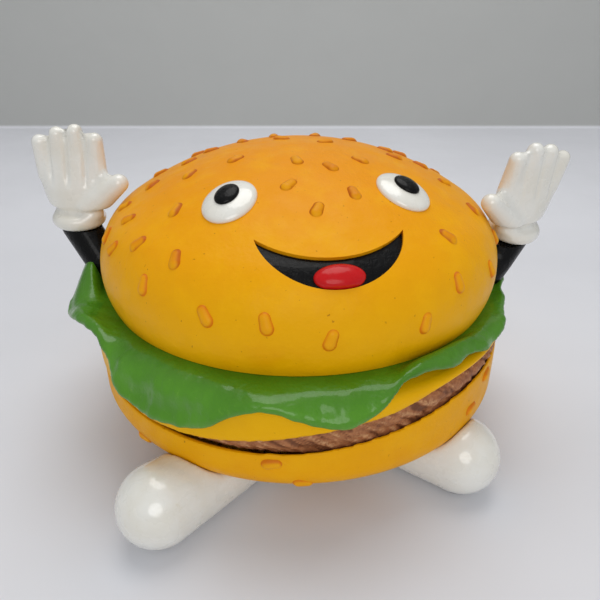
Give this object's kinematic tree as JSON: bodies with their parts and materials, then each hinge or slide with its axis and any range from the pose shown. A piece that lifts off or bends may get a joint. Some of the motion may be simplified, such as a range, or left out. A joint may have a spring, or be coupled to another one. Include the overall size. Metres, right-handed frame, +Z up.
{
  "type": "novelty telephone",
  "caption": "Flip-open novelty telephone shaped as a hamburger with a face, arms and feet: the bun lid holds the earpiece, the base the keypad and microphone.",
  "frame": {"origin": "on the table under the burger's axis, at the bottom centre of the bounding box", "axes": "+Z up, -Y to the front with the face, +X to the viewer's right"},
  "size_m": [0.1685, 0.1576, 0.1038],
  "materials": {
    "bun_paint": "satin painted",
    "seed_paint": "satin painted",
    "lettuce_green": "satin gloss painted",
    "cheese_yellow": "satin painted",
    "patty_brown": "carved, dry-brushed",
    "white_gloss": "semi-gloss painted",
    "black_gloss": "gloss painted",
    "tongue_red": "gloss painted",
    "plate_tan": "fine matt moulding",
    "key_ivory": "satin moulding with printed legends",
    "black_plastic": "moulded",
    "rubber_grey": "matt",
    "steel": "zinc-plated",
    "board_green": "solder-masked laminate",
    "microphone_can": "drawn can"
  },
  "bodies": {
    "base": {"ballast_plate": "steel", "base_hinge_leaf": "steel", "base_screws": "steel", "board_components": "black_plastic", "bottom_bun": "bun_paint", "bottom_seeds": "seed_paint", "cheese": "cheese_yellow", "dial_switch": "black_plastic", "foot_left": "white_gloss", "foot_pads": "rubber_grey", "foot_right": "white_gloss", "hinge_pin": "steel", "hook_switch": "black_plastic", "key_mat": "rubber_grey", "keypad_plate": "plate_tan", "line_jack": "black_plastic", "main_board": "board_green", "microphone": "microphone_can", "microphone_boot": "rubber_grey", "patty": "patty_brown", "rear_feet": "black_plastic", "ringer": "black_plastic", "ringer_switch": "black_plastic"},
    "lid": {"top_bun": "bun_paint", "top_seeds": "seed_paint", "lettuce": "lettuce_green", "lid_plate": "plate_tan", "lid_screws": "steel", "receiver": "black_plastic", "receiver_gasket": "rubber_grey", "receiver_clamp": "steel", "lid_hinge_leaf": "steel", "eye_left": "white_gloss", "eye_right": "white_gloss", "pupil_left": "black_gloss", "pupil_right": "black_gloss", "mouth_liner": "black_gloss", "tongue": "tongue_red", "arm_left": "black_gloss", "arm_right": "black_gloss", "glove_left": "white_gloss", "glove_right": "white_gloss"},
    "key_1": {"key_1": "key_ivory"},
    "key_2": {"key_2": "key_ivory"},
    "key_3": {"key_3": "key_ivory"},
    "key_4": {"key_4": "key_ivory"},
    "key_5": {"key_5": "key_ivory"},
    "key_6": {"key_6": "key_ivory"},
    "key_7": {"key_7": "key_ivory"},
    "key_8": {"key_8": "key_ivory"},
    "key_9": {"key_9": "key_ivory"},
    "key_star": {"key_star": "key_ivory"},
    "key_0": {"key_0": "key_ivory"},
    "key_hash": {"key_hash": "key_ivory"},
    "key_redial": {"key_redial": "key_ivory"},
    "key_flash": {"key_flash": "key_ivory"},
    "hook_plunger": {"hook_plunger": "black_plastic"},
    "ringer_knob": {"ringer_knob": "black_plastic"},
    "dial_knob": {"dial_knob": "black_plastic"}
  },
  "joints": [
    {"name": "lid_hinge", "type": "hinge", "parent": "base", "child": "lid", "pos_m": [0, 0.0746, 0.05], "axis": [-1, 0, 0], "range_deg": [0, 110]},
    {"name": "key_1_press", "type": "slide", "parent": "base", "child": "key_1", "axis": [0, 0, -1], "range_m": [0, 0.0015], "stiffness_N_per_m": 400, "springref_m": -0.0003},
    {"name": "key_2_press", "type": "slide", "parent": "base", "child": "key_2", "axis": [0, 0, -1], "range_m": [0, 0.0015], "stiffness_N_per_m": 400, "springref_m": -0.0003},
    {"name": "key_3_press", "type": "slide", "parent": "base", "child": "key_3", "axis": [0, 0, -1], "range_m": [0, 0.0015], "stiffness_N_per_m": 400, "springref_m": -0.0003},
    {"name": "key_4_press", "type": "slide", "parent": "base", "child": "key_4", "axis": [0, 0, -1], "range_m": [0, 0.0015], "stiffness_N_per_m": 400, "springref_m": -0.0003},
    {"name": "key_5_press", "type": "slide", "parent": "base", "child": "key_5", "axis": [0, 0, -1], "range_m": [0, 0.0015], "stiffness_N_per_m": 400, "springref_m": -0.0003},
    {"name": "key_6_press", "type": "slide", "parent": "base", "child": "key_6", "axis": [0, 0, -1], "range_m": [0, 0.0015], "stiffness_N_per_m": 400, "springref_m": -0.0003},
    {"name": "key_7_press", "type": "slide", "parent": "base", "child": "key_7", "axis": [0, 0, -1], "range_m": [0, 0.0015], "stiffness_N_per_m": 400, "springref_m": -0.0003},
    {"name": "key_8_press", "type": "slide", "parent": "base", "child": "key_8", "axis": [0, 0, -1], "range_m": [0, 0.0015], "stiffness_N_per_m": 400, "springref_m": -0.0003},
    {"name": "key_9_press", "type": "slide", "parent": "base", "child": "key_9", "axis": [0, 0, -1], "range_m": [0, 0.0015], "stiffness_N_per_m": 400, "springref_m": -0.0003},
    {"name": "key_star_press", "type": "slide", "parent": "base", "child": "key_star", "axis": [0, 0, -1], "range_m": [0, 0.0015], "stiffness_N_per_m": 400, "springref_m": -0.0003},
    {"name": "key_0_press", "type": "slide", "parent": "base", "child": "key_0", "axis": [0, 0, -1], "range_m": [0, 0.0015], "stiffness_N_per_m": 400, "springref_m": -0.0003},
    {"name": "key_hash_press", "type": "slide", "parent": "base", "child": "key_hash", "axis": [0, 0, -1], "range_m": [0, 0.0015], "stiffness_N_per_m": 400, "springref_m": -0.0003},
    {"name": "key_redial_press", "type": "slide", "parent": "base", "child": "key_redial", "axis": [0, 0, -1], "range_m": [0, 0.0015], "stiffness_N_per_m": 400, "springref_m": -0.0003},
    {"name": "key_flash_press", "type": "slide", "parent": "base", "child": "key_flash", "axis": [0, 0, -1], "range_m": [0, 0.0015], "stiffness_N_per_m": 400, "springref_m": -0.0003},
    {"name": "hook_plunger_slide", "type": "slide", "parent": "base", "child": "hook_plunger", "axis": [0, 0, 1], "range_m": [0, 0.004]},
    {"name": "ringer_knob_slide", "type": "slide", "parent": "base", "child": "ringer_knob", "axis": [0, 1, 0], "range_m": [0, 0.004]},
    {"name": "dial_knob_slide", "type": "slide", "parent": "base", "child": "dial_knob", "axis": [0, 1, 0], "range_m": [0, 0.004]}
  ],
  "couplings": [
    {"joint": "hook_plunger_slide", "follows": "lid_hinge", "m_per_rad": 0.00208}
  ]
}
